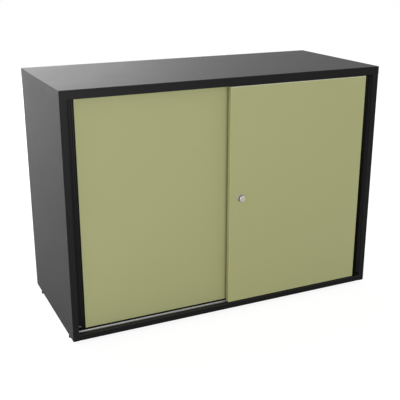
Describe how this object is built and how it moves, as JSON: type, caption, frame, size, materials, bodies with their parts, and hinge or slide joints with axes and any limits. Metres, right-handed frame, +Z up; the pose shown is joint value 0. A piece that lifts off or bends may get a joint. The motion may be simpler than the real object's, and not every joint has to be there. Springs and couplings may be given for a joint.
{
  "type": "sliding door cabinet",
  "caption": "Low black storage cabinet with overlapping olive doors that roll sideways on ribbed aluminium tracks, with a push lock, a shelf inside and levelling feet.",
  "frame": {"origin": "centre of the bounding box's footprint, on the floor under the feet; the box's front is the face of the lock cylinder, 9 mm in front of the casing", "axes": "+X along the width, to the right as seen from the front; +Y to the back; +Z up"},
  "size_m": [1, 0.44, 0.725],
  "materials": {
    "black_board": "black melamine facing on chipboard, fine satin grain",
    "olive_board": "olive melamine facing on chipboard, smooth satin",
    "grip_plastic": "black extruded profile, smooth",
    "black_plastic": "moulded black plastic",
    "grey_plastic": "moulded grey plastic",
    "white_nylon": "moulded nylon",
    "aluminium": "drawn and anodised",
    "nickel": "nickel plated",
    "steel": "zinc plated"
  },
  "bodies": {
    "casing": {"top_panel": "black_board", "base_panel": "black_board", "back_panel": "black_board", "side_panel_left": "black_board", "side_panel_right": "black_board", "shelf": "black_board", "foot_sleeve_front_left": "steel", "shelf_peg_front_left": "nickel", "front_channel_stop_left": "white_nylon", "foot_sleeve_front_right": "steel", "shelf_peg_front_right": "nickel", "front_channel_stop_right": "white_nylon", "foot_sleeve_rear_left": "steel", "shelf_peg_rear_left": "nickel", "rear_channel_stop_left": "white_nylon", "foot_sleeve_rear_right": "steel", "shelf_peg_rear_right": "nickel", "rear_channel_stop_right": "white_nylon", "front_track": "aluminium", "front_top_channel": "black_plastic", "rear_track": "aluminium", "rear_top_channel": "black_plastic"},
    "front_door": {"front_door_panel": "olive_board", "front_door_grip": "grip_plastic", "front_roller_housing_left": "grey_plastic", "front_roller_axle_left": "steel", "front_guide_housing_left": "grey_plastic", "front_roller_housing_right": "grey_plastic", "front_roller_axle_right": "steel", "front_guide_housing_right": "grey_plastic", "lock_housing": "nickel", "lock_nut": "steel"},
    "rear_door": {"rear_door_panel": "olive_board", "rear_door_grip": "grip_plastic", "rear_roller_housing_left": "grey_plastic", "rear_roller_axle_left": "steel", "rear_guide_housing_left": "grey_plastic", "rear_roller_housing_right": "grey_plastic", "rear_roller_axle_right": "steel", "rear_guide_housing_right": "grey_plastic"},
    "front_roller_left": {"front_roller_left": "white_nylon"},
    "front_roller_right": {"front_roller_right": "white_nylon"},
    "rear_roller_left": {"rear_roller_left": "white_nylon"},
    "rear_roller_right": {"rear_roller_right": "white_nylon"},
    "front_guide_pin_left": {"front_guide_pin_left": "white_nylon"},
    "front_guide_pin_right": {"front_guide_pin_right": "white_nylon"},
    "rear_guide_pin_left": {"rear_guide_pin_left": "white_nylon"},
    "rear_guide_pin_right": {"rear_guide_pin_right": "white_nylon"},
    "lock_cylinder": {"lock_cylinder": "nickel"},
    "lock_key_plug": {"lock_key_plug": "nickel"},
    "foot_front_left": {"foot_front_left": "black_plastic"},
    "foot_front_right": {"foot_front_right": "black_plastic"},
    "foot_rear_left": {"foot_rear_left": "black_plastic"},
    "foot_rear_right": {"foot_rear_right": "black_plastic"}
  },
  "joints": [
    {"name": "front_door_slide", "type": "slide", "parent": "casing", "child": "front_door", "axis": [1, 0, 0], "range_m": [-0.457, 0]},
    {"name": "rear_door_slide", "type": "slide", "parent": "casing", "child": "rear_door", "axis": [1, 0, 0], "range_m": [0, 0.457]},
    {"name": "front_roller_left_spin", "type": "hinge", "parent": "front_door", "child": "front_roller_left", "pos_m": [0.051, -0.1905, 0.0388], "axis": [0, 1, 0], "continuous": true},
    {"name": "front_roller_right_spin", "type": "hinge", "parent": "front_door", "child": "front_roller_right", "pos_m": [0.406, -0.1905, 0.0388], "axis": [0, 1, 0], "continuous": true},
    {"name": "rear_roller_left_spin", "type": "hinge", "parent": "rear_door", "child": "rear_roller_left", "pos_m": [-0.406, -0.1625, 0.0388], "axis": [0, 1, 0], "continuous": true},
    {"name": "rear_roller_right_spin", "type": "hinge", "parent": "rear_door", "child": "rear_roller_right", "pos_m": [-0.051, -0.1625, 0.0388], "axis": [0, 1, 0], "continuous": true},
    {"name": "front_guide_pin_left_draw", "type": "slide", "parent": "front_door", "child": "front_guide_pin_left", "axis": [0, 0, 1], "range_m": [-0.007, 0], "stiffness_N_per_m": 200, "springref_m": 0.01},
    {"name": "front_guide_pin_right_draw", "type": "slide", "parent": "front_door", "child": "front_guide_pin_right", "axis": [0, 0, 1], "range_m": [-0.007, 0], "stiffness_N_per_m": 200, "springref_m": 0.01},
    {"name": "rear_guide_pin_left_draw", "type": "slide", "parent": "rear_door", "child": "rear_guide_pin_left", "axis": [0, 0, 1], "range_m": [-0.007, 0], "stiffness_N_per_m": 200, "springref_m": 0.01},
    {"name": "rear_guide_pin_right_draw", "type": "slide", "parent": "rear_door", "child": "rear_guide_pin_right", "axis": [0, 0, 1], "range_m": [-0.007, 0], "stiffness_N_per_m": 200, "springref_m": 0.01},
    {"name": "lock_push", "type": "slide", "parent": "front_door", "child": "lock_cylinder", "axis": [0, 1, 0], "range_m": [0, 0.007], "stiffness_N_per_m": 600, "springref_m": -0.004},
    {"name": "lock_key_turn", "type": "hinge", "parent": "lock_cylinder", "child": "lock_key_plug", "pos_m": [0.0295, -0.218, 0.36585], "axis": [0, 1, 0], "range_deg": [0, 90]},
    {"name": "foot_front_left_level", "type": "slide", "parent": "casing", "child": "foot_front_left", "axis": [0, 0, 1], "range_m": [-0.01, 0]},
    {"name": "foot_front_right_level", "type": "slide", "parent": "casing", "child": "foot_front_right", "axis": [0, 0, 1], "range_m": [-0.01, 0]},
    {"name": "foot_rear_left_level", "type": "slide", "parent": "casing", "child": "foot_rear_left", "axis": [0, 0, 1], "range_m": [-0.01, 0]},
    {"name": "foot_rear_right_level", "type": "slide", "parent": "casing", "child": "foot_rear_right", "axis": [0, 0, 1], "range_m": [-0.01, 0]}
  ],
  "couplings": [
    {"joint": "front_roller_left_spin", "follows": "front_door_slide", "rad_per_m": 142.86},
    {"joint": "front_roller_right_spin", "follows": "front_door_slide", "rad_per_m": 142.86},
    {"joint": "rear_roller_left_spin", "follows": "rear_door_slide", "rad_per_m": 142.86},
    {"joint": "rear_roller_right_spin", "follows": "rear_door_slide", "rad_per_m": 142.86}
  ]
}
